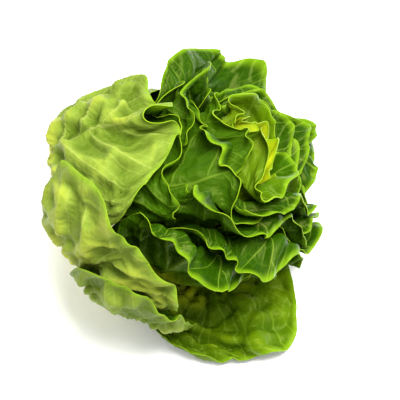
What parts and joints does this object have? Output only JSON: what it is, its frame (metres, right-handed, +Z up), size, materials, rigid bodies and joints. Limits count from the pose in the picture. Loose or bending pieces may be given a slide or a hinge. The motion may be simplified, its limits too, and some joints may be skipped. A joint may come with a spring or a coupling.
{
  "type": "butterhead lettuce head",
  "caption": "Loose leafy lettuce head lying on its side, its ruffled leaves open like a rosette round a yellow-green heart.",
  "frame": {"origin": "on the flat underside of the lowest leaf, under the middle of the head", "axes": "+Z up from the surface that the head lies on, +X to the right and +Y away as the picture sees it"},
  "size_m": [0.1896, 0.2177, 0.1334],
  "materials": {
    "leaf_green": "glossy wet leaf",
    "leaf_pale": "satin leaf underside",
    "leaf_inner": "glossy wet leaf",
    "leaf_heart": "glossy young leaf",
    "stem": "matte cut stem"
  },
  "bodies": {
    "root": {"leaf_back": "leaf_pale", "leaf_far": "leaf_green", "leaf_floor": "leaf_green", "leaf_front": "leaf_green", "leaf_front_low": "leaf_pale", "leaf_front_outer": "leaf_green", "leaf_inner_01": "leaf_heart", "leaf_inner_02": "leaf_heart", "leaf_inner_03": "leaf_heart", "leaf_inner_04": "leaf_heart", "leaf_inner_05": "leaf_inner", "leaf_inner_06": "leaf_inner", "leaf_inner_07": "leaf_inner", "leaf_inner_08": "leaf_inner", "leaf_inner_09": "leaf_inner", "leaf_inner_10": "leaf_inner", "leaf_inner_11": "leaf_inner", "leaf_inner_12": "leaf_inner", "leaf_inner_13": "leaf_inner", "leaf_inner_14": "leaf_inner", "leaf_inner_15": "leaf_inner", "leaf_inner_16": "leaf_inner", "leaf_left": "leaf_pale", "leaf_left_back": "leaf_pale", "leaf_right": "leaf_green", "leaf_right_low": "leaf_pale", "leaf_top": "leaf_green", "stem": "stem"}
  },
  "joints": []
}
